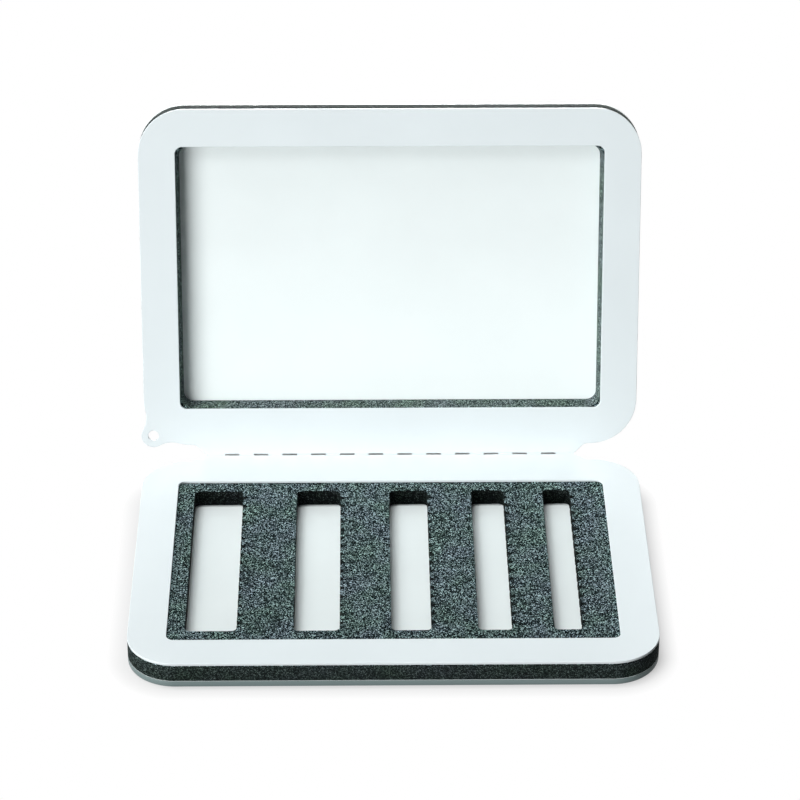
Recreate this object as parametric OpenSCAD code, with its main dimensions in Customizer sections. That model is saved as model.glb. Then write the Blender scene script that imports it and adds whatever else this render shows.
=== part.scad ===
// Slim fly box: two laminated shells joined by a die-cut sheet with a living hinge.
// Each shell is a stiff outer panel, a foam layer and a thin white face sheet.
// The base foam holds the flies in slitted bars beside five pockets; the lid is a shallow tray.
// Origin: centre of the underside. +X right, +Y to the hinge, +Z up. Millimetres.

/* [Case] */
// Width of each shell, along the hinge
case_w = 150; // [130:1:190]
// Depth of each shell, from its hinge side to its front edge
case_d = 104.5; // [90:0.5:140]
// Outer corner radius of the shells
corner_r = 14; // [8:0.5:18]

/* [Layers] */
// Thickness of the stiff outer panels
panel_t = 2; // [1.2:0.1:3]
// Thickness of the foam layers
foam_t = 5; // [4.2:0.1:8]
// Thickness of the white face sheets
sheet_t = 0.8; // [0.5:0.05:1.2]
// Thickness of each adhesive film
film_t = 0.1; // [0.05:0.01:0.2]
// How far the films stay back from every cut edge
film_inset = 0.5; // [0.2:0.1:1]

/* [Window] */
// Width of the face sheet's border at the left and right
border_side = 11; // [9:0.5:16]
// Width of the face sheet's border at the front and the hinge side
border_end = 11.4; // [9:0.2:16]
// Corner radius of the windows in the face sheets
window_r = 2.2; // [1.5:0.1:5]

/* [Lid tray] */
// How much further in the foam wall of the tray stands at its floor than at the face sheet
tray_draft = 1; // [0.2:0.1:1.5]
// Corner radius of the foam wall at the face sheet
tray_r = 4; // [2.5:0.1:6]

/* [Pockets and bars] */
// Number of pockets in the base foam
pocket_n = 5; // [3:1:6]
// Width of the widest pocket, at the left
pocket_w = 14.6; // [12:0.2:16]
// How much narrower each following pocket is
pocket_step = 1.6; // [0:0.1:1.7]
// Width of the foam left of the first pocket, inside the window
first_land = 5; // [3:0.5:8]
// Width of the widest foam bar, right of the first pocket
bar_w = 16.2; // [14:0.2:17]
// How much narrower each following bar is
bar_step = 1.5; // [0.8:0.1:1.8]
// Foam left between the pockets and the window's hinge side
rear_land = 4.2; // [2:0.2:8]
// Foam left between the pockets and the window's front side
front_land = 5.5; // [2:0.2:8]
// Corner radius of the pockets
pocket_r = 1.5; // [1.3:0.1:2.5]

/* [Hook slits] */
// Distance from one slit to the next
slit_pitch = 4.3; // [3.5:0.1:6]
// Distance from the pocket's ends to the first and last slit
slit_margin = 3.7; // [2.6:0.1:6]
// Width of the lead-in notch at the bar's edge
notch_w = 2; // [0.5:0.1:2.4]
// Depth of the lead-in notch
notch_d = 1.5; // [0.5:0.1:2]
// Length of the slit, measured from the bar's edge
slit_len = 4.5; // [2.5:0.1:6]
// Width of the slit behind its notch
slit_w = 0.12; // [0.08:0.01:0.2]

/* [Hinge] */
// Distance from the fold line to the shells
fold_reach = 3.2; // [2.5:0.1:5]
// Half the width of the sheet at the fold line
fold_half_w = 56.2; // [45:0.2:58]
// Number of slots cut along the fold line
slot_n = 12; // [6:1:12]
// Length of each slot
slot_len = 4.5; // [3:0.1:5]
// Distance from one slot to the next
slot_pitch = 8.8; // [7:0.1:9]
// Width of the cut along the fold line
slot_w = 0.5; // [0.3:0.05:0.8]
// Thickness of the scored bridges between the slots
bridge_t = 0.3; // [0.2:0.05:0.45]
// Gap between the face sheets when the box is shut
shut_gap = 0.2; // [0.1:0.05:0.4]
// Opening angle of the lid as drawn, from shut
lid_open = 104.2; // [60:0.1:180]

/* [Lanyard eye] */
// Radius of the hole in the eye
eye_r = 1.6; // [1:0.1:1.8]
// Outer radius of the eye
eye_outer_r = 3.7; // [3.2:0.1:4.4]
// Distance of the hole's centre inwards from the lid's left side
eye_in = 2.7; // [2.4:0.1:3.6]
// Distance of the hole's centre from the fold line
eye_up = 6.2; // [5:0.1:7]
// Radius of the fillets between the eye and the lid's corner
eye_fillet = 8; // [5:0.5:12]

/* [Closure magnets] */
// Diameter of the magnets
magnet_d = 6; // [4:0.5:7]
// Clearance round a magnet in its foam hole
magnet_gap = 0.1; // [0.05:0.05:0.3]
// Distance of each magnet's centre from the case's side
magnet_side = 23; // [14:1:45]

/* [Hidden] */
$fn = 96;

// A cut runs this far past the solid that it cuts
over = 1;
// The eye's fillets bite this far into their neighbours, so that the outlines cross cleanly
bite = 0.03;
// Steps in the arc of each of the eye's fillets
arc_steps = 12;

// Heights in a shell, measured from the inner face of its face sheet
sheet_z = -sheet_t;
sheet_film_z = sheet_z - film_t;
foam_z = sheet_film_z - foam_t;
panel_film_z = foam_z - film_t;
panel_z = panel_film_z - panel_t;
shell_t = -panel_z;

// Distances from the fold line
shell_y = fold_reach + case_d / 2;
window_w = case_w - 2 * border_side;
window_d = case_d - 2 * border_end;
window_y = fold_reach + border_end;
magnet_x = case_w / 2 - magnet_side;
magnet_y = fold_reach + case_d - border_end / 2;

// The fold line, in the part's own frame
fold_rise = shut_gap / 2;
fold_y = case_d / 2 + fold_reach;
fold_z = shell_t + fold_rise;

// Pockets, from the left
pocket_y0 = window_y + rear_land;
pocket_y1 = window_y + window_d - front_land;
function pocket_width(i) = pocket_w - pocket_step * i;
function bar_width(i) = bar_w - bar_step * i;
function pocket_x(i) = i == 0 ? -window_w / 2 + first_land
  : pocket_x(i - 1) + pocket_width(i - 1) + bar_width(i - 1);

// Slits in each bar, centred along the pocket
slit_n = floor((pocket_y1 - pocket_y0 - 2 * slit_margin) / slit_pitch) + 1;
slit_y0 = (pocket_y0 + pocket_y1 - (slit_n - 1) * slit_pitch) / 2;

// The lid's eye and the corner of the lid that it grows from
eye = [-case_w / 2 + eye_in, eye_up];
corner = [-case_w / 2 + corner_r, fold_reach + corner_r];

// Centre of the circle that touches two circles from outside, to the left of the way from a to b
function touching(a, ra, b, rb) =
  let (d = norm(b - a), u = (b - a) / d, s = (d * d + ra * ra - rb * rb) / (2 * d))
  a + u * s + [-u[1], u[0]] * sqrt(ra * ra - s * s);

// Direction of a vector, in degrees
function heading(v) = atan2(v[1], v[0]);

// Points along the circle round c, from one angle to another
function arc(c, r, a0, a1) =
  [for (i = [0 : arc_steps]) let (a = a0 + (a1 - a0) * i / arc_steps) c + r * [cos(a), sin(a)]];

// Places children of the base shell: x across, y away from the fold line, z above the inner face
module base_place() {
  translate([0, fold_y, fold_z - fold_rise]) mirror([0, 1, 0]) children();
}

// Places children of the lid shell, turned about the fold line from lying flat beside the base
module lid_place() {
  translate([0, fold_y, fold_z])
    rotate([180 - lid_open, 0, 0])
      translate([0, 0, -fold_rise]) children();
}

// Rectangle with round corners, centred across and along
module round_rect(w, d, r) {
  square([w - 2 * r, d], center = true);
  square([w, d - 2 * r], center = true);
  for (x = [-1, 1], y = [-1, 1]) translate([x * (w / 2 - r), y * (d / 2 - r)]) circle(r);
}

// Outline of a shell, drawn in by an inset
module shell_outline(inset = 0) {
  translate([0, shell_y]) round_rect(case_w - 2 * inset, case_d - 2 * inset, corner_r - inset);
}

// Opening of the window, let out by a margin
module window_outline(margin = 0) {
  translate([0, shell_y]) round_rect(window_w + 2 * margin, window_d + 2 * margin, window_r + margin);
}

// Outline of one pocket, let out by a margin
module pocket_outline(i, margin = 0) {
  w = pocket_width(i) + 2 * margin;
  d = pocket_y1 - pocket_y0 + 2 * margin;
  translate([pocket_x(i) + pocket_width(i) / 2, (pocket_y0 + pocket_y1) / 2])
    round_rect(w, d, pocket_r + margin);
}

// One slit with its lead-in notch, running to the right from the bar's edge
module slit_outline() {
  polygon([
    [-over, -notch_w / 2], [0, -notch_w / 2], [notch_d, -slit_w / 2], [slit_len, -slit_w / 2],
    [slit_len, slit_w / 2], [notch_d, slit_w / 2], [0, notch_w / 2], [-over, notch_w / 2]
  ]);
}

// The row of slits along the right side of pocket i
module slit_row(i) {
  for (k = [0 : slit_n - 1])
    translate([pocket_x(i) + pocket_width(i), slit_y0 + k * slit_pitch]) slit_outline();
}

// Holes for the two magnets of a shell
module magnet_holes(r) {
  for (side = [-1, 1]) translate([side * magnet_x, magnet_y]) circle(r);
}

// Strip of the face sheet between its shell and the fold line, with flared ends
module fold_strip() {
  near = slot_w / 2;
  far = fold_reach + over;
  polygon([
    [-fold_half_w - near, near], [fold_half_w + near, near],
    [fold_half_w + fold_reach, fold_reach], [fold_half_w + fold_reach, far],
    [-fold_half_w - fold_reach, far], [-fold_half_w - fold_reach, fold_reach]
  ]);
}

// Outline of the lanyard eye with a fillet at each side, where it meets the lid's corner
module eye_outline() {
  r = eye_fillet - bite;
  side = touching(eye, eye_outer_r + r, corner, corner_r + r);
  foot = touching(corner, corner_r + r, eye, eye_outer_r + r);
  translate(eye) circle(eye_outer_r);
  polygon(concat(
    [eye], arc(foot, eye_fillet, heading(eye - foot), heading(corner - foot)),
    [corner], arc(side, eye_fillet, heading(corner - side), heading(eye - side))
  ));
}

// Solid opening of the lid's tray: it narrows from the face sheet to the floor
module tray_opening() {
  // The sloping sides go on past the foam's two faces at the same slope
  extra = tray_draft * over / foam_t;
  h = foam_t + 2 * over;
  top = extra;
  low = -tray_draft - extra;
  cx = window_w / 2 - tray_r;
  cy = window_d / 2 - tray_r;
  translate([0, shell_y, foam_z - over]) {
    for (x = [-1, 1], y = [-1, 1])
      translate([x * cx, y * cy]) cylinder(h = h, r1 = tray_r + low, r2 = tray_r + top);
    rotate([90, 0, 0]) linear_extrude(2 * cy, center = true) slope_section(cx + tray_r, low, top, h);
    rotate([90, 0, 90]) linear_extrude(2 * cx, center = true) slope_section(cy + tray_r, low, top, h);
  }
}

// Cross-section of the tray's opening: half its width, then what each level adds to it
module slope_section(half, low, top, h) {
  polygon([[-half - low, 0], [half + low, 0], [half + top, h], [-half - top, h]]);
}

// Stiff outer panel
module panel() {
  translate([0, 0, panel_z]) linear_extrude(panel_t) shell_outline();
}

// Base: stiff panel that the box stands on and that closes the pockets from below
module base_panel() {
  color("white") base_place() panel();
}

// Base: adhesive film between the panel and the foam, cut out under the pockets
module base_panel_film() {
  color("lightgrey") base_place()
    translate([0, 0, panel_film_z]) linear_extrude(film_t) difference() {
      shell_outline(film_inset);
      for (i = [0 : pocket_n - 1]) {
        pocket_outline(i, film_inset);
        slit_row(i);
      }
    }
}

// Base: foam block with the pockets, the slitted bars and the magnet holes
module base_foam() {
  color("dimgray") base_place()
    translate([0, 0, foam_z]) linear_extrude(foam_t) difference() {
      shell_outline();
      for (i = [0 : pocket_n - 1]) {
        pocket_outline(i);
        slit_row(i);
      }
      magnet_holes(magnet_d / 2 + magnet_gap);
    }
}

// Adhesive film between a foam layer and its face sheet
module sheet_film() {
  translate([0, 0, sheet_film_z]) linear_extrude(film_t) difference() {
    shell_outline(film_inset);
    window_outline(film_inset);
  }
}

// Base: adhesive film under the face sheet
module base_sheet_film() {
  color("lightgrey") base_place() sheet_film();
}

// Base: white face sheet with its window and its half of the hinge strip
module base_sheet() {
  color("ghostwhite") base_place()
    translate([0, 0, sheet_z]) linear_extrude(sheet_t) difference() {
      union() {
        shell_outline();
        fold_strip();
      }
      window_outline();
    }
}

// Lid: stiff panel, the floor of the tray
module lid_panel() {
  color("white") lid_place() panel();
}

// Lid: adhesive film between the panel and the foam frame
module lid_panel_film() {
  r = tray_r - tray_draft + film_inset;
  grow = film_inset - tray_draft;
  color("lightgrey") lid_place()
    translate([0, 0, panel_film_z]) linear_extrude(film_t) difference() {
      shell_outline(film_inset);
      translate([0, shell_y]) round_rect(window_w + 2 * grow, window_d + 2 * grow, r);
    }
}

// Lid: foam frame round the tray, with the magnet holes
module lid_foam() {
  color("dimgray") lid_place() difference() {
    translate([0, 0, foam_z]) linear_extrude(foam_t) difference() {
      shell_outline();
      magnet_holes(magnet_d / 2 + magnet_gap);
    }
    tray_opening();
  }
}

// Lid: adhesive film under the face sheet
module lid_sheet_film() {
  color("lightgrey") lid_place() sheet_film();
}

// Lid: white face sheet with its window, its half of the hinge strip and the lanyard eye
module lid_sheet() {
  color("ghostwhite") lid_place()
    translate([0, 0, sheet_z]) linear_extrude(sheet_t) difference() {
      union() {
        shell_outline();
        fold_strip();
        eye_outline();
      }
      window_outline();
      translate(eye) circle(eye_r);
    }
}

// Thin scored bridges across the fold line: one at each end and one between each two slots
module hinge_bridges() {
  first_slot = -(slot_n - 1) / 2 * slot_pitch - slot_len / 2;
  between = slot_pitch - slot_len;
  end_len = fold_half_w + first_slot;
  color("ghostwhite") {
    for (side = [0, 1]) mirror([side, 0, 0]) bridge(-fold_half_w, end_len);
    for (k = [1 : slot_n - 1]) bridge(first_slot + k * slot_pitch - between, between);
  }
}

// One bridge, from x along the fold line: a bent strip between the edges of the two sheets
module bridge(x, len) {
  near = slot_w / 2;
  turn = 180 - lid_open;
  // Points of the strip's section: the base sheet's edge, the middle and the lid sheet's edge
  function on_lid(h) = [near * cos(turn) - h * sin(turn), near * sin(turn) + h * cos(turn)];
  mid = turn / 2 + 90;
  inner = -fold_rise;
  outer = -fold_rise - bridge_t;
  translate([x, fold_y, fold_z]) rotate([90, 0, 90]) linear_extrude(len)
    polygon([
      [-near, inner], [-near, outer],
      outer * [cos(mid), sin(mid)],
      on_lid(outer), on_lid(inner),
      inner * [cos(mid), sin(mid)]
    ]);
}

// Round magnet as thick as the foam, on one side of a shell
module magnet(side) {
  color("silver") translate([side * magnet_x, magnet_y, foam_z]) cylinder(h = foam_t, d = magnet_d);
}

module base_magnet_left() {
  base_place() magnet(-1);
}

module base_magnet_right() {
  base_place() magnet(1);
}

module lid_magnet_left() {
  lid_place() magnet(-1);
}

module lid_magnet_right() {
  lid_place() magnet(1);
}

base_panel();
base_panel_film();
base_foam();
base_sheet_film();
base_sheet();
lid_panel();
lid_panel_film();
lid_foam();
lid_sheet_film();
lid_sheet();
hinge_bridges();
base_magnet_left();
base_magnet_right();
lid_magnet_left();
lid_magnet_right();
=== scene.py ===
import math
import random

import bmesh
import bpy
import numpy as np
from mathutils import Matrix, Vector, geometry


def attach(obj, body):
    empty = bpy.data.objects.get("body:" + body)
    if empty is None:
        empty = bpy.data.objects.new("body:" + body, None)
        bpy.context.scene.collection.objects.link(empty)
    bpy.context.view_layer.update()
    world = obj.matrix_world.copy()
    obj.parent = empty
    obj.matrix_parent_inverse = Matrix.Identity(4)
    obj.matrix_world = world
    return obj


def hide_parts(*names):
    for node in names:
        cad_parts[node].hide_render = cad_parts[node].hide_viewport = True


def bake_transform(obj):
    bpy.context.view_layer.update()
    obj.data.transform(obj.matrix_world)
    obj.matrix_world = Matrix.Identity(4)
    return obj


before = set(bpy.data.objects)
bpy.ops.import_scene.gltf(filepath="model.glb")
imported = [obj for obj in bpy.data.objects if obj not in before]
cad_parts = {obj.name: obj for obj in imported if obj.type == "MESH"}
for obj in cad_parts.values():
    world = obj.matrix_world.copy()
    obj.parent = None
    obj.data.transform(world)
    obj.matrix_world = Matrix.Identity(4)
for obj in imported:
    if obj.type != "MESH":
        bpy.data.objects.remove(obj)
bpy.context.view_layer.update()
random.seed(7)

# -------------------------------------------------- sizes in millimetres, most named as in the CAD source
# shells and their layers
CASE_W, CASE_D, CORNER_R = 150.0, 104.5, 14.0
PANEL_T, FOAM_T, SHEET_T, FILM_T = 2.0, 5.0, 0.8, 0.1
BORDER_SIDE, BORDER_END, WINDOW_R = 11.0, 11.4, 2.2
TRAY_DRAFT, TRAY_R = 1.0, 4.0
# fold line, with its slots and bridges; the corners of the flared strip are rounded by FLARE_R
FOLD_REACH, FOLD_HALF_W, FOLD_RISE, FLARE_R = 3.2, 56.2, 0.1, 3.0
SLOT_N, SLOT_LEN, SLOT_PITCH, SLOT_W = 12, 4.5, 8.8, 0.5
BRIDGE_T, LID_OPEN = 0.3, 104.2
# lanyard eye; its fillets reach EYE_BITE into the circles that they join
EYE_R, EYE_OUTER_R, EYE_IN, EYE_UP, EYE_FILLET, EYE_BITE = 1.6, 3.7, 2.7, 6.2, 8.0, 0.03
# pockets from left to right, and the bars between them, each a step narrower than the last
POCKET_N, POCKET_W, POCKET_STEP, POCKET_R = 5, 14.6, 1.6, 1.5
BAR_W, BAR_STEP = 16.2, 1.5
FIRST_LAND, REAR_LAND, FRONT_LAND = 5.0, 4.2, 5.5
# slits in the bars, with their lead-in notches
SLIT_PITCH, SLIT_MARGIN, SLIT_LEN, SLIT_W = 4.3, 3.7, 4.5, 0.12
NOTCH_W, NOTCH_D = 2.0, 1.5
# how far the edges are rounded, and how far the cut edges of the foam stray
EDGE_R, PANEL_OUTER_EDGE_R = 0.12, 0.4
BLOCK_EDGE_R, FOAM_GLUED_EDGE_R, FOAM_STRAY = 0.16, 0.05, 0.045

# worked out from those; heights are measured from the inner face of the face sheet
SHELL_T = PANEL_T + FOAM_T + SHEET_T + 2 * FILM_T
SHELL_Y = FOLD_REACH + CASE_D / 2
FOLD_Y = CASE_D / 2 + FOLD_REACH
FOLD_Z = SHELL_T + FOLD_RISE
FOLD_TURN = math.radians(180 - LID_OPEN)
WINDOW_W = CASE_W - 2 * BORDER_SIDE
WINDOW_D = CASE_D - 2 * BORDER_END
FOAM_TOP = -SHEET_T - FILM_T
FOAM_LOW = FOAM_TOP - FOAM_T
PANEL_TOP = FOAM_LOW - FILM_T
POCKET_Y0 = FOLD_REACH + BORDER_END + REAR_LAND
POCKET_Y1 = FOLD_REACH + BORDER_END + WINDOW_D - FRONT_LAND
SLIT_N = int((POCKET_Y1 - POCKET_Y0 - 2 * SLIT_MARGIN) / SLIT_PITCH) + 1
SLIT_Y0 = (POCKET_Y0 + POCKET_Y1 - (SLIT_N - 1) * SLIT_PITCH) / 2
EYE = (-CASE_W / 2 + EYE_IN, EYE_UP)

# from shell coordinates (x, distance from the fold, height) in millimetres to the part's frame in metres
METRES = Matrix.Scale(0.001, 4)
BASE = METRES @ Matrix.Translation((0, FOLD_Y, FOLD_Z - FOLD_RISE)) @ Matrix.Diagonal((1, -1, 1, 1))
LID = (METRES @ Matrix.Translation((0, FOLD_Y, FOLD_Z)) @ Matrix.Rotation(FOLD_TURN, 4, "X")
       @ Matrix.Translation((0, 0, -FOLD_RISE)))

# fineness of the meshes, in steps
CORNER_STEPS, WINDOW_STEPS, TRAY_STEPS, POCKET_STEPS, FLARE_STEPS = 24, 10, 12, 6, 6
EYE_STEPS, EYE_HOLE_STEPS, EYE_FILLET_STEPS, EYE_CORNER_STEPS = 30, 32, 12, 6
EDGE_STEPS, BRIDGE_STEPS = 2, 6
RAGGED_STEP = 0.5       # distance between the points of an edge that strays
SAME_POINT = 0.02       # points of a face sheet's outline that lie nearer than this are one
SIDE_BAND = 1.0         # the outer sides of a shell lie within this of its outline
MITRE_LIMIT = 0.4       # keeps inset() from throwing sharp corners far out
SMOOTH_ANGLE = 35       # edges that turn by more degrees than this are sharp


# -------------------------------------------------- outlines: closed lists of (x, y), anticlockwise
def arc(cx, cy, r, start, end, n):
    """Points on a circle from one angle to another, in degrees."""
    angles = [math.radians(start + (end - start) * k / n) for k in range(n + 1)]
    return [(cx + r * math.cos(a), cy + r * math.sin(a)) for a in angles]


def clean(loop, least=1e-4):
    """The loop without the points that lie nearer than least to the one before."""
    out = []
    for p in loop:
        if not out or math.dist(p, out[-1]) > least:
            out.append(p)
    if math.dist(out[0], out[-1]) <= least:
        out.pop()
    return out


def round_rect(w, d, r, n):
    """A rectangle with round corners, about the middle of a shell."""
    x0, x1, y0, y1 = -w / 2 + r, w / 2 - r, SHELL_Y - d / 2 + r, SHELL_Y + d / 2 - r
    return clean(arc(x1, y0, r, -90, 0, n) + arc(x1, y1, r, 0, 90, n)
                 + arc(x0, y1, r, 90, 180, n) + arc(x0, y0, r, 180, 270, n))


def divide(loop, step):
    """The loop with its long edges cut into pieces of about step."""
    out = []
    for a, b in zip(loop, loop[1:] + loop[:1]):
        n = max(1, round(math.dist(a, b) / step))
        out += [(a[0] + (b[0] - a[0]) * k / n, a[1] + (b[1] - a[1]) * k / n) for k in range(n)]
    return out


def inset(loop, by):
    """The loop moved to its left by that distance: inwards for an anticlockwise one."""
    out, n = [], len(loop)
    for k in range(n):
        a, p, b = loop[k - 1], loop[k], loop[(k + 1) % n]
        u = Vector((p[0] - a[0], p[1] - a[1])).normalized()
        v = Vector((b[0] - p[0], b[1] - p[1])).normalized()
        m = Vector((-u.y - v.y, u.x + v.x))
        s = by * 2 / max(m.length_squared, MITRE_LIMIT)
        out.append((p[0] + m.x * s, p[1] + m.y * s))
    return out


def within(points, loop):
    """Which of the points lie inside the loop."""
    inside = np.zeros(len(points), bool)
    px, py = points[:, 0], points[:, 1]
    for (ax, ay), (bx, by) in zip(loop, loop[1:] + loop[:1]):
        if ay != by:
            crosses = (ay > py) != (by > py)
            inside ^= crosses & (px < (bx - ax) * (py - ay) / (by - ay) + ax)
    return inside


def heading(v):
    """The direction of a vector, in degrees."""
    return math.degrees(math.atan2(v[1], v[0]))


def touching(a, ra, b, rb):
    """Where the circles about a and b meet, on the left of the way from a to b."""
    a, b = Vector(a), Vector(b)
    d = (b - a).length
    u = (b - a) / d
    s = (d * d + ra * ra - rb * rb) / (2 * d)
    return a + u * s + Vector((-u.y, u.x)) * math.sqrt(ra * ra - s * s)


def bow(centre, r, p, q, way, n):
    """An arc about centre from the direction of p to that of q. way: 1 is anticlockwise and -1 clockwise."""
    start, end = heading(p - centre), heading(q - centre)
    sweep = way * ((end - start) * way % 360)
    return arc(centre.x, centre.y, r, start, start + sweep, n)


def rounded(a, p, b, r):
    """The corner at p, between a and b, as an arc of that radius."""
    u, v = Vector(p) - Vector(a), Vector(b) - Vector(p)
    turn = u.angle_signed(v)
    trim = r * math.tan(abs(turn) / 2)
    start = Vector(p) - u.normalized() * trim
    side = 1 if turn < 0 else -1
    c = start + Vector((-u.y, u.x)).normalized() * r * side
    from_angle = heading(start - c)
    return arc(c.x, c.y, r, from_angle, from_angle + side * math.degrees(abs(turn)), FLARE_STEPS)


def shell_loop():
    """Outline of a shell."""
    return round_rect(CASE_W, CASE_D, CORNER_R, CORNER_STEPS)


def eye_corner(corner):
    """The shell's rear left corner about its centre, with the lanyard eye between two fillets."""
    eye, r = Vector(EYE), EYE_FILLET - EYE_BITE
    side = touching(eye, EYE_OUTER_R + r, corner, CORNER_R + r)
    foot = touching(corner, CORNER_R + r, eye, EYE_OUTER_R + r)
    out = arc(corner.x, corner.y, CORNER_R, 180, heading(side - corner) % 360, EYE_CORNER_STEPS)
    out += bow(side, EYE_FILLET, corner, eye, -1, EYE_FILLET_STEPS)
    out += bow(eye, EYE_OUTER_R, side, foot, 1, EYE_STEPS)
    out += bow(foot, EYE_FILLET, eye, corner, -1, EYE_FILLET_STEPS)
    return out + arc(corner.x, corner.y, CORNER_R, heading(foot - corner) % 360, 270, EYE_CORNER_STEPS)


def sheet_loop(with_eye):
    """Outline of a face sheet: the shell, the flared strip towards the fold and, on the lid, the eye."""
    near, far = SLOT_W / 2, FOLD_REACH
    x, y0, y1 = CASE_W / 2 - CORNER_R, FOLD_REACH + CORNER_R, FOLD_REACH + CASE_D - CORNER_R
    flare = rounded((FOLD_HALF_W + near, near), (FOLD_HALF_W + far, far), (x, far), FLARE_R)
    out = [(-FOLD_HALF_W - near, near), (FOLD_HALF_W + near, near)] + flare
    out += arc(x, y0, CORNER_R, -90, 0, CORNER_STEPS)
    out += arc(x, y1, CORNER_R, 0, 90, CORNER_STEPS)
    out += arc(-x, y1, CORNER_R, 90, 180, CORNER_STEPS)
    out += eye_corner(Vector((-x, y0))) if with_eye else arc(-x, y0, CORNER_R, 180, 270, CORNER_STEPS)
    out += [(-px, py) for px, py in reversed(flare)]
    return clean(out, SAME_POINT)


def pocket_loops():
    """The pockets, each with its lead-in notches and slits along the right side."""
    loops, x0, r, n = [], -WINDOW_W / 2 + FIRST_LAND, POCKET_R, POCKET_STEPS
    for i in range(POCKET_N):
        x1 = x0 + POCKET_W - POCKET_STEP * i
        out = arc(x1 - r, POCKET_Y0 + r, r, -90, 0, n)
        for k in range(SLIT_N):
            y = SLIT_Y0 + k * SLIT_PITCH
            low = [(x1, y - NOTCH_W / 2), (x1 + NOTCH_D, y - SLIT_W / 2), (x1 + SLIT_LEN, y - SLIT_W / 2)]
            out += low + [(px, 2 * y - py) for px, py in reversed(low)]
        out += arc(x1 - r, POCKET_Y1 - r, r, 0, 90, n)
        out += arc(x0 + r, POCKET_Y1 - r, r, 90, 180, n)
        out += arc(x0 + r, POCKET_Y0 + r, r, 180, 270, n)
        loops.append(clean(out))
        x0 = x1 + BAR_W - BAR_STEP * i
    return loops


# -------------------------------------------------- meshes
def edge_levels(z0, z1, low_edge, edge):
    """(height, how far in) of a plate's rings from bottom to top, with both edges rounded."""
    bends = [math.pi / 2 * k / EDGE_STEPS for k in range(EDGE_STEPS + 1)]
    low = [(z0 + low_edge * (1 - math.cos(a)), low_edge * (1 - math.sin(a))) for a in bends]
    return low + [(z1 - edge * (1 - math.sin(a)), edge * (1 - math.cos(a))) for a in bends]


def vertex(bm, px, py, z, stray):
    """A vertex that strays sideways and down at random, by at most that much each way."""
    dx, dy, dz = random.uniform(-1, 1), random.uniform(-1, 1), random.random()
    return bm.verts.new((px + stray * dx, py + stray * dy, z - stray * dz))


def cap(bm, rings, up):
    """Fill one side of a plate, whose outline is the first ring and whose holes are the rest."""
    verts = [v for ring in rings for v in ring]
    flat = [Vector(v.co.xy) for v in verts]
    edges, start = [], 0
    for ring in rings:
        edges += [(start + k, start + (k + 1) % len(ring)) for k in range(len(ring))]
        start += len(ring)
    # 1 asks for the triangles inside the outline, and those in the holes are left out below
    _, _, found, origin, _, _ = geometry.delaunay_2d_cdt(flat, edges, [], 1, 1e-6)
    faces = [[origin[k][0] for k in f] for f in found]
    middle = np.array([[sum(flat[k][j] for k in f) / 3 for j in (0, 1)] for f in faces])
    keep = within(middle, [tuple(v.co.xy) for v in rings[0]])
    for hole in rings[1:]:
        keep &= ~within(middle, [tuple(v.co.xy) for v in hole])
    return [bm.faces.new([verts[k] for k in (f if up else f[::-1])]) for f, good in zip(faces, keep) if good]


def plate(name, place, outer, holes, z0, z1, edge=EDGE_R, low_edge=EDGE_R, slope=0.0, stray=0.0):
    """A closed plate with rounded edges. slope: how much further in the holes' walls stand at the bottom.
    stray: how far the top edges stray, as the cut edges of foam do."""
    bm = bmesh.new()
    levels = edge_levels(z0, z1, low_edge, edge)
    sides = []      # for each outline, its rings of vertices from the bottom face to the top face
    for loop, sign in [(outer, 1)] + [(hole, -1) for hole in holes]:
        rows = []
        for level, (z, back) in enumerate(levels):
            more = slope * (z1 - z) / (z1 - z0) if sign < 0 else 0.0
            ragged = stray if level >= len(levels) - 2 else 0.0
            rows.append([vertex(bm, px, py, z, ragged) for px, py in inset(loop, sign * back + more)])
        sides.append(rows)
        for lower, upper in zip(rows, rows[1:]):
            for k in range(len(lower)):
                after = (k + 1) % len(lower)
                quad = (lower[k], lower[after], upper[after], upper[k])
                bm.faces.new(quad if sign > 0 else quad[::-1])
    caps = set(cap(bm, [rows[0] for rows in sides], False) + cap(bm, [rows[-1] for rows in sides], True))
    rims = {e for f in caps for e in f.edges if any(g not in caps for g in e.link_faces)}
    return finish_mesh(name, bm, place, rims)


def finish_mesh(name, bm, place, rims=()):
    """An object of the mesh in the part's frame, smooth but at corners and at the rims of flat faces."""
    bm.transform(place)
    if place.determinant() < 0:
        bmesh.ops.reverse_faces(bm, faces=bm.faces[:])
    bm.normal_update()
    for f in bm.faces:
        f.smooth = True
    for e in bm.edges:
        e.smooth = e not in rims and e.calc_face_angle(0) < math.radians(SMOOTH_ANGLE)
    return new_object(name, bm)


def new_object(name, bm):
    """An object of the mesh, in the scene."""
    mesh = bpy.data.meshes.new(name)
    bm.to_mesh(mesh)
    bm.free()
    obj = bpy.data.objects.new(name, mesh)
    bpy.context.scene.collection.objects.link(obj)
    return obj


# -------------------------------------------------- shader nodes
def new_material(name):
    """A material, its node tree, its shader and the object coordinates."""
    m = bpy.data.materials.new(name)
    m.use_nodes = True
    t = m.node_tree
    coords = t.nodes.new("ShaderNodeTexCoord")
    return m, t, t.nodes["Principled BSDF"], coords.outputs["Object"]


def noise(t, vector, scale, detail):
    """Soft noise between 0 and 1."""
    n = t.nodes.new("ShaderNodeTexNoise")
    n.inputs["Scale"].default_value = scale
    n.inputs["Detail"].default_value = detail
    t.links.new(vector, n.inputs["Vector"])
    return n.outputs["Fac"]


def ramp(t, fac, stops):
    """A colour for each value: stops are (position, colour)."""
    r = t.nodes.new("ShaderNodeValToRGB")
    e = r.color_ramp.elements
    while len(e) < len(stops):
        e.new(0.5)
    for k, (position, colour) in enumerate(stops):
        e[k].position = position
        e[k].color = (*colour, 1)
    t.links.new(fac, r.inputs["Fac"])
    return r.outputs["Color"]


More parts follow.
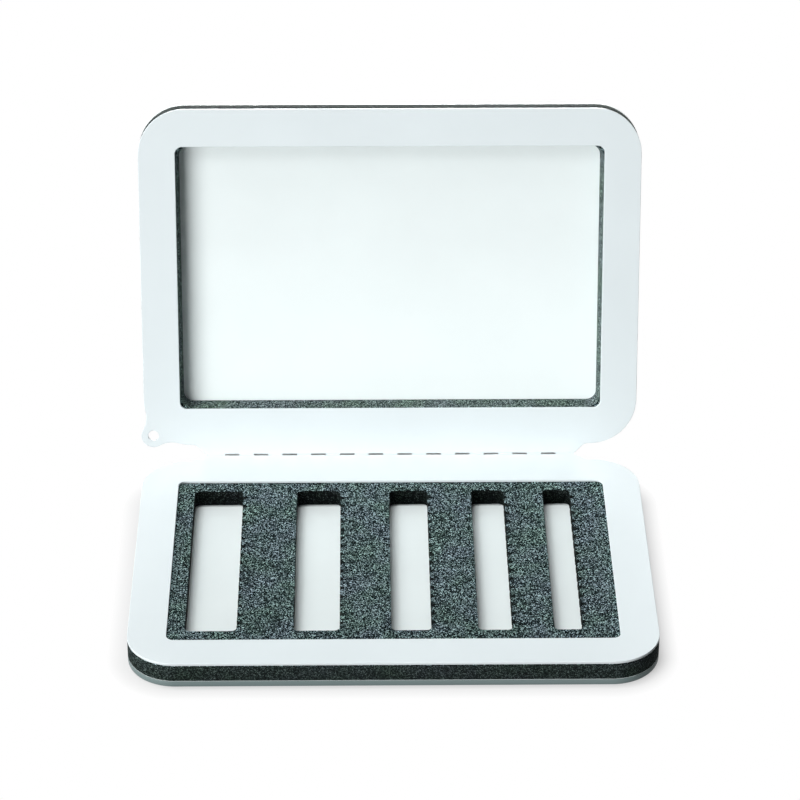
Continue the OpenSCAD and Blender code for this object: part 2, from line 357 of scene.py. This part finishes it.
def mapped(t, fac, from_min, from_max, to_min, to_max):
    """A value carried over from one range to another, and kept within it."""
    n = t.nodes.new("ShaderNodeMapRange")
    n.inputs["From Min"].default_value = from_min
    n.inputs["From Max"].default_value = from_max
    n.inputs["To Min"].default_value = to_min
    n.inputs["To Max"].default_value = to_max
    t.links.new(fac, n.inputs["Value"])
    return n.outputs["Result"]


def mixed(t, fac, a, b, how="MIX"):
    """Two colours mixed. Each input is a number, a colour or a socket."""
    n = t.nodes.new("ShaderNodeMix")
    n.data_type = "RGBA"
    n.blend_type = how
    # 0, 6 and 7 are the node's factor and its two colours
    for key, v in ((0, fac), (6, a), (7, b)):
        if isinstance(v, (int, float)):
            n.inputs[key].default_value = v
        elif isinstance(v, tuple):
            n.inputs[key].default_value = (*v, 1)
        else:
            t.links.new(v, n.inputs[key])
    return n.outputs[2]


def math_node(t, how, a, b):
    """What a math node makes of two sockets."""
    n = t.nodes.new("ShaderNodeMath")
    n.operation = how
    t.links.new(a, n.inputs[0])
    t.links.new(b, n.inputs[1])
    return n.outputs[0]


def bump(t, shader, height, strength, distance):
    """Relief on the shader: distance is its depth in metres."""
    n = t.nodes.new("ShaderNodeBump")
    n.inputs["Strength"].default_value = strength
    n.inputs["Distance"].default_value = distance
    t.links.new(height, n.inputs["Height"])
    t.links.new(n.outputs["Normal"], shader.inputs["Normal"])


def seen_by_camera(t):
    """1 for what the camera sees, also in gloss and through glass, and 0 for light on the object."""
    path = t.nodes.new("ShaderNodeLightPath")
    straight_or_gloss = math_node(t, "MAXIMUM", path.outputs["Is Camera Ray"], path.outputs["Is Glossy Ray"])
    return math_node(t, "MAXIMUM", straight_or_gloss, path.outputs["Is Transmission Ray"])


# -------------------------------------------------- materials
# a noise of scale 1000 has features of about a millimetre
FOAM_CELL = 0.23        # width of a cell, in millimetres


def plastic(name, colour, roughness):
    """Pale plastic sheet: faint cloudiness, uneven gloss and a fine surface."""
    m, t, shader, at = new_material(name)
    dark = tuple(c * 0.97 for c in colour)
    t.links.new(ramp(t, noise(t, at, 38, 3), [(0.3, dark), (0.7, colour)]), shader.inputs["Base Color"])
    gloss = mapped(t, noise(t, at, 190, 3), 0.3, 0.7, roughness - 0.06, roughness + 0.06)
    t.links.new(gloss, shader.inputs["Roughness"])
    bump(t, shader, noise(t, at, 1400, 2), 0.12, 0.00004)
    return m


def foam(name, stops):
    """Closed-cell foam: every cell catches the light in its own way, with painted shade in a hollow at its
    middle and a painted highlight on its paler rim, under slow drifts in hue."""
    m, t, shader, at = new_material(name)
    cells = t.nodes.new("ShaderNodeTexVoronoi")
    cells.inputs["Scale"].default_value = 1000 / FOAM_CELL
    t.links.new(at, cells.inputs["Vector"])
    each = t.nodes.new("ShaderNodeSeparateColor")
    t.links.new(cells.outputs["Color"], each.inputs["Color"])
    tone = ramp(t, each.outputs["Red"], stops)
    # painted shade in each cell's middle and a painted highlight on its rim
    hollow_shade_rim_highlight = ramp(t, cells.outputs["Distance"], [(0.08, (0.4, 0.4, 0.4)), (0.5, (1.25, 1.25, 1.25))])
    drift = ramp(t, noise(t, at, 110, 2), [(0.35, (0.9, 1.0, 0.9)), (0.65, (1.0, 0.97, 1.06))])
    colour = mixed(t, 1.0, mixed(t, 1.0, tone, hollow_shade_rim_highlight, "MULTIPLY"), drift, "MULTIPLY")
    t.links.new(colour, shader.inputs["Base Color"])
    shader.inputs["Roughness"].default_value = 0.85
    shader.inputs["Specular IOR Level"].default_value = 0.05
    bump(t, shader, cells.outputs["Distance"], 0.6, 0.00015)
    return m


def adhesive():
    """Clouded adhesive film."""
    m, t, shader, at = new_material("adhesive_film")
    cloud = ramp(t, noise(t, at, 300, 3), [(0.3, (0.5, 0.5, 0.47)), (0.7, (0.66, 0.66, 0.62))])
    t.links.new(cloud, shader.inputs["Base Color"])
    shader.inputs["Roughness"].default_value = 0.35
    return m


def steel():
    """The magnets' plated metal, with an uneven gloss."""
    m, t, shader, at = new_material("magnet_steel")
    t.links.new(mapped(t, noise(t, at, 500, 4), 0.3, 0.7, 0.22, 0.42), shader.inputs["Roughness"])
    shader.inputs["Base Color"].default_value = (0.62, 0.63, 0.65, 1)
    shader.inputs["Metallic"].default_value = 1.0
    return m


# how the brightness of the foam's cells is spread: most are dark and few are light
SKIN_TONES = [(0.0, (0.001, 0.003, 0.003)), (0.6, (0.005, 0.009, 0.01)),
              (0.8, (0.095, 0.14, 0.145)), (1.0, (0.56, 0.75, 0.77))]
# a darker copy for the shells' outer sides: painted shade
OUTER_SIDE_SHADE_TONES = [(0.0, (0.003, 0.0043, 0.0043)), (0.5, (0.0065, 0.01, 0.0094)),
                    (0.75, (0.025, 0.036, 0.034)), (1.0, (0.1, 0.13, 0.122))]
# a lighter copy for the walls of the lid's tray: painted light
TRAY_WALL_LIT_TONES = [(0.0, (0.009, 0.015, 0.014)), (0.5, (0.023, 0.034, 0.032)),
                   (0.75, (0.115, 0.15, 0.143)), (1.0, (0.43, 0.54, 0.515))]
# a near-black copy for the pocket walls: painted shade
POCKET_WALL_SHADE_TONES = [(0.0, (0.001, 0.002, 0.002)), (0.6, (0.002, 0.003, 0.003)),
                     (0.85, (0.012, 0.017, 0.016)), (1.0, (0.05, 0.065, 0.06))]

WHITE = plastic("face_sheet_white", (0.74, 0.81, 0.83), 0.5)
PANEL = plastic("panel_pale", (0.88, 0.955, 0.955), 0.36)
# the edges of the base's pale panel in dark grey: painted shade
PANEL_EDGE_SHADE = plastic("panel_edge_painted_shade", (0.15, 0.2, 0.2), 0.5)
FOAM = foam("foam_charcoal", SKIN_TONES)
# the outer sides and the pocket walls are darker copies of the foam, as painted shade, and the tray's walls
# a lighter copy, as painted light
FOAM_SIDE_SHADE = foam("foam_outer_side_painted_shade", OUTER_SIDE_SHADE_TONES)
FOAM_TRAY_WALL_LIT = foam("foam_tray_wall_painted_light", TRAY_WALL_LIT_TONES)
FOAM_POCKET_SHADE = foam("foam_pocket_wall_painted_shade", POCKET_WALL_SHADE_TONES)
GLUE = adhesive()
STEEL = steel()


# -------------------------------------------------- pieces
def dress(obj, body, node, slot, *materials):
    """The piece's materials, the body that it rides on and the CAD node that it stands for. slot: not used.
    """
    for m in materials:
        obj.data.materials.append(m)
    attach(obj, body)
    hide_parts(node)


def mark_sides(obj, place):
    """Faces that stand upright in the shell get the second material on its outline, and the third within."""
    axis = (place.to_3x3() @ Vector((0, 0, 1))).normalized()
    to_shell = place.inverted()
    upright = [p for p in obj.data.polygons if abs(p.normal.dot(axis)) < 0.5]
    inner = within(np.array([(to_shell @ p.center)[:2] for p in upright]), inset(shell_loop(), SIDE_BAND))
    for p, is_inner in zip(upright, inner):
        p.material_index = 2 if is_inner else 1


def outer_panel(body, place, edge_material):
    """The stiff panel on the outside of a shell."""
    panel = plate(body + "_outer_panel", place, shell_loop(), [], PANEL_TOP - PANEL_T, PANEL_TOP,
                  low_edge=PANEL_OUTER_EDGE_R)
    dress(panel, body, body + "_panel", "outer_panel", PANEL, edge_material)
    mark_sides(panel, place)


def face_sheet(body, place, with_eye):
    """The white sheet with its window and, on the lid, the lanyard eye."""
    holes = [round_rect(WINDOW_W, WINDOW_D, WINDOW_R, WINDOW_STEPS)]
    if with_eye:
        holes.append(clean(arc(*EYE, EYE_R, 0, 360, EYE_HOLE_STEPS)))
    sheet = plate(body + "_face_sheet", place, sheet_loop(with_eye), holes, -SHEET_T, 0)
    dress(sheet, body, body + "_sheet", "face_sheet", WHITE)


def foam_block():
    """The base's foam, with slightly ragged pockets and slits."""
    pockets = [divide(loop, RAGGED_STEP) for loop in pocket_loops()]
    block = plate("base_foam_block", BASE, shell_loop(), pockets, FOAM_LOW, FOAM_TOP,
                  edge=BLOCK_EDGE_R, low_edge=FOAM_GLUED_EDGE_R, stray=FOAM_STRAY)
    # the outer sides and the pocket walls in painted shade
    dress(block, "base", "base_foam", "foam", FOAM, FOAM_SIDE_SHADE, FOAM_POCKET_SHADE)
    mark_sides(block, BASE)


def foam_frame():
    """The lid's foam, round the tray, whose walls lean in towards its floor."""
    tray = round_rect(WINDOW_W, WINDOW_D, TRAY_R, TRAY_STEPS)
    rim = plate("lid_foam_frame", LID, shell_loop(), [tray], FOAM_LOW, FOAM_TOP,
                low_edge=FOAM_GLUED_EDGE_R, slope=TRAY_DRAFT)
    # the outer sides in painted shade and the tray's walls in painted light
    dress(rim, "lid", "lid_foam", "foam", FOAM, FOAM_SIDE_SHADE, FOAM_TRAY_WALL_LIT)
    mark_sides(rim, LID)


def bridge(bm, x0, x1):
    """One scored strip between x0 and x1, bent about the fold line from the base's sheet to the lid's."""
    towards_lid = Vector((math.cos(FOLD_TURN), math.sin(FOLD_TURN)))
    rows = []
    for k in range(BRIDGE_STEPS + 1):
        turn = FOLD_TURN * k / BRIDGE_STEPS
        reach = (2 * k / BRIDGE_STEPS - 1) * SLOT_W / 2
        along = Vector((reach, 0)) if reach < 0 else towards_lid * reach
        up = Vector((-math.sin(turn), math.cos(turn)))
        inner, outer = along - up * FOLD_RISE, along - up * (FOLD_RISE + BRIDGE_T)
        rows.append([bm.verts.new((x, q.x, q.y)) for q in (inner, outer) for x in (x0, x1)])
    for row, after in zip(rows, rows[1:]):
        for i, j in ((0, 1), (1, 3), (3, 2), (2, 0)):
            bm.faces.new((row[i], row[j], after[j], after[i]))
    bm.faces.new([rows[0][k] for k in (0, 1, 3, 2)])
    bm.faces.new([rows[-1][k] for k in (2, 3, 1, 0)])


def bridges():
    """The bridges between the slots and outside them, as one piece, bent at the lid's open angle."""
    first = -(SLOT_N - 1) / 2 * SLOT_PITCH - SLOT_LEN / 2
    gap = SLOT_PITCH - SLOT_LEN
    spans = [(-FOLD_HALF_W, first), (-first, FOLD_HALF_W)]
    spans += [(first + k * SLOT_PITCH - gap, first + k * SLOT_PITCH) for k in range(1, SLOT_N)]
    bm = bmesh.new()
    for x0, x1 in sorted(spans):
        bridge(bm, x0, x1)
    bmesh.ops.recalc_face_normals(bm, faces=bm.faces[:])
    strip = finish_mesh("fold_bridges", bm, METRES @ Matrix.Translation((0, FOLD_Y, FOLD_Z)))
    strip.data.materials.append(WHITE)
    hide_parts("hinge_bridges")
    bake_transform(strip)


# the base panel's edges get painted shade; the lid's, below, keep the pale panel
outer_panel("base", BASE, PANEL_EDGE_SHADE)
face_sheet("base", BASE, with_eye=False)
outer_panel("lid", LID, PANEL)
face_sheet("lid", LID, with_eye=True)
foam_block()
foam_frame()
bridges()

for node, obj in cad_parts.items():
    if node.endswith("_film") or "magnet" in node:
        obj.data.materials.clear()
        obj.data.materials.append(GLUE if node.endswith("_film") else STEEL)

# -------------------------------------------------- floor
FLOOR_R = 6.0           # metres
FLOOR_SEEN = 0.62       # the floor's grey to the camera, where it is shaded
FLOOR_GREY = 0.3        # its darker grey for the light that it throws back on the object
# where the floor is shaded, in millimetres: the middle, half the width and depth, the corners' radius, and
# how far past the edge the fade to white starts and ends
ROUND_BASE = ((0, 0), (CASE_W / 2, CASE_D / 2), CORNER_R, -3, 6)
UNDER_FOLD = ((0, FOLD_Y + 7), (FOLD_HALF_W - 4, 12), 2, -1, 4)


def clearance(t, at, middle, half, r, start, end):
    """0 on the floor in a rectangle with round corners, and 1 away from it: it rises past the edge."""
    x, y = middle
    half_w, half_d = half
    steps = (("SUBTRACT", (x / 1000, y / 1000, 0)), ("ABSOLUTE", None),
             ("SUBTRACT", ((half_w - r) / 1000, (half_d - r) / 1000, 0)),
             ("MAXIMUM", (0, 0, 0)), ("LENGTH", None))
    value = at
    for how, other in steps:
        n = t.nodes.new("ShaderNodeVectorMath")
        n.operation = how
        t.links.new(value, n.inputs[0])
        if other:
            n.inputs[1].default_value = other
        value = n.outputs["Value" if how == "LENGTH" else "Vector"]
    return mapped(t, value, (r + start) / 1000, (r + end) / 1000, 0.0, 1.0)


def floor_material():
    """Shaded near the object, where it keeps the shadow, and plain white to the camera from there."""
    m, t, shader, at = new_material("studio_floor")
    seen = seen_by_camera(t)
    t.links.new(mixed(t, seen, (FLOOR_GREY,) * 3, (FLOOR_SEEN,) * 3), shader.inputs["Base Color"])
    shader.inputs["Roughness"].default_value = 0.9
    shader.inputs["Specular IOR Level"].default_value = 0.0
    white = t.nodes.new("ShaderNodeEmission")
    t.links.new(seen, white.inputs["Strength"])
    nearest = math_node(t, "MINIMUM", clearance(t, at, *ROUND_BASE), clearance(t, at, *UNDER_FOLD))
    both = t.nodes.new("ShaderNodeMixShader")
    fade = ramp(t, nearest, [(0.0, (0, 0, 0)), (0.33, (0.5, 0.5, 0.5)), (1.0, (1, 1, 1))])
    t.links.new(fade, both.inputs[0])
    t.links.new(shader.outputs[0], both.inputs[1])
    t.links.new(white.outputs[0], both.inputs[2])
    t.links.new(both.outputs[0], t.nodes["Material Output"].inputs["Surface"])
    return m


disc = bmesh.new()
bmesh.ops.create_circle(disc, cap_ends=True, radius=FLOOR_R, segments=96)
floor = new_object("studio_floor", disc)
floor.data.materials.append(floor_material())

# -------------------------------------------------- world and lamps
AMBIENT = 0.05          # the world's light on the object; the camera sees it as plain white

# place, aim and size in metres, and power in watts
LAMPS = {
    # low and wide, from the front left
    "key": ((-3.67, -4.07, 0.92), (0, 0.02, 0.02), (3.9, 1.8), 316.0),
    # from the same side, higher up
    "high": ((-3.03, -2.55, 3.98), (0, 0.02, 0.02), (2.4, 2.4), 80.0),
    # overhead and a little behind, so that it hardly lights the open lid's face
    "rear": ((-1.3, 0.6, 4.4), (-1.3, 0.02, 0.02), (2.6, 0.6), 83.0),
    # overhead, from the left
    "top": ((-1.2, 0.2, 3.7), (0, 0.02, 0.02), (1.8, 1.8), 42.0),
    # low and behind, for the back of the lid
    "behind": ((0, 2.4, 0.1), (0, 0.08, 0.05), (0.8, 0.14), 52.0),
}


def studio_world():
    """White to the camera, and faint as light on the object."""
    world = bpy.data.worlds.new("studio")
    bpy.context.scene.world = world
    world.use_nodes = True
    t = world.node_tree
    background = t.nodes["Background"]
    background.inputs["Color"].default_value = (1, 1, 1, 1)
    t.links.new(mapped(t, seen_by_camera(t), 0, 1, AMBIENT, 1.0), background.inputs["Strength"])


def softbox(name, at, towards, size, watts):
    """A rectangular lamp that the camera doesn't see."""
    lamp = bpy.data.lights.new(name, "AREA")
    lamp.shape = "RECTANGLE"
    lamp.size, lamp.size_y = size
    lamp.energy = watts
    obj = bpy.data.objects.new(name, lamp)
    obj.location = at
    obj.rotation_euler = (Vector(towards) - Vector(at)).to_track_quat("-Z", "Y").to_euler()
    obj.visible_camera = False
    bpy.context.scene.collection.objects.link(obj)


studio_world()
for name, (at, towards, size, watts) in LAMPS.items():
    softbox(name, at, towards, size, watts)

# -------------------------------------------------- camera, at the photograph's viewing angle
TILT, YAW, ROLL = math.radians(31.585), math.radians(0.783), math.radians(0.164)
DISTANCE = 0.99995                              # metres to the plane through the fold's middle
OFF_RIGHT, OFF_UP = 0.002957, 0.016639          # metres from the fold's middle to the line of sight
SENSOR_W, FOCAL_PIXELS, PHOTO_PIXELS = 36, 3267.06, 800


def photo_camera():
    """The camera as fitted to the photograph's edges."""
    forward = Vector((math.sin(YAW) * math.cos(TILT), math.cos(YAW) * math.cos(TILT), -math.sin(TILT)))
    level = Vector((math.cos(YAW), -math.sin(YAW), 0))
    upright = level.cross(forward)
    right = level * math.cos(ROLL) + upright * math.sin(ROLL)
    up = upright * math.cos(ROLL) - level * math.sin(ROLL)
    lens = bpy.data.cameras.new("camera")
    lens.sensor_width = SENSOR_W
    lens.lens = FOCAL_PIXELS * SENSOR_W / PHOTO_PIXELS
    lens.clip_start, lens.clip_end = 0.05, 50
    camera = bpy.data.objects.new("camera", lens)
    camera.matrix_world = Matrix((right, up, -forward)).transposed().to_4x4()
    fold = Vector((0, FOLD_Y, SHELL_T)) / 1000
    camera.matrix_world.translation = fold - forward * DISTANCE + right * OFF_RIGHT + up * OFF_UP
    bpy.context.scene.collection.objects.link(camera)
    return camera


bpy.context.scene.camera = photo_camera()
bpy.context.scene.view_settings.view_transform = "Standard"
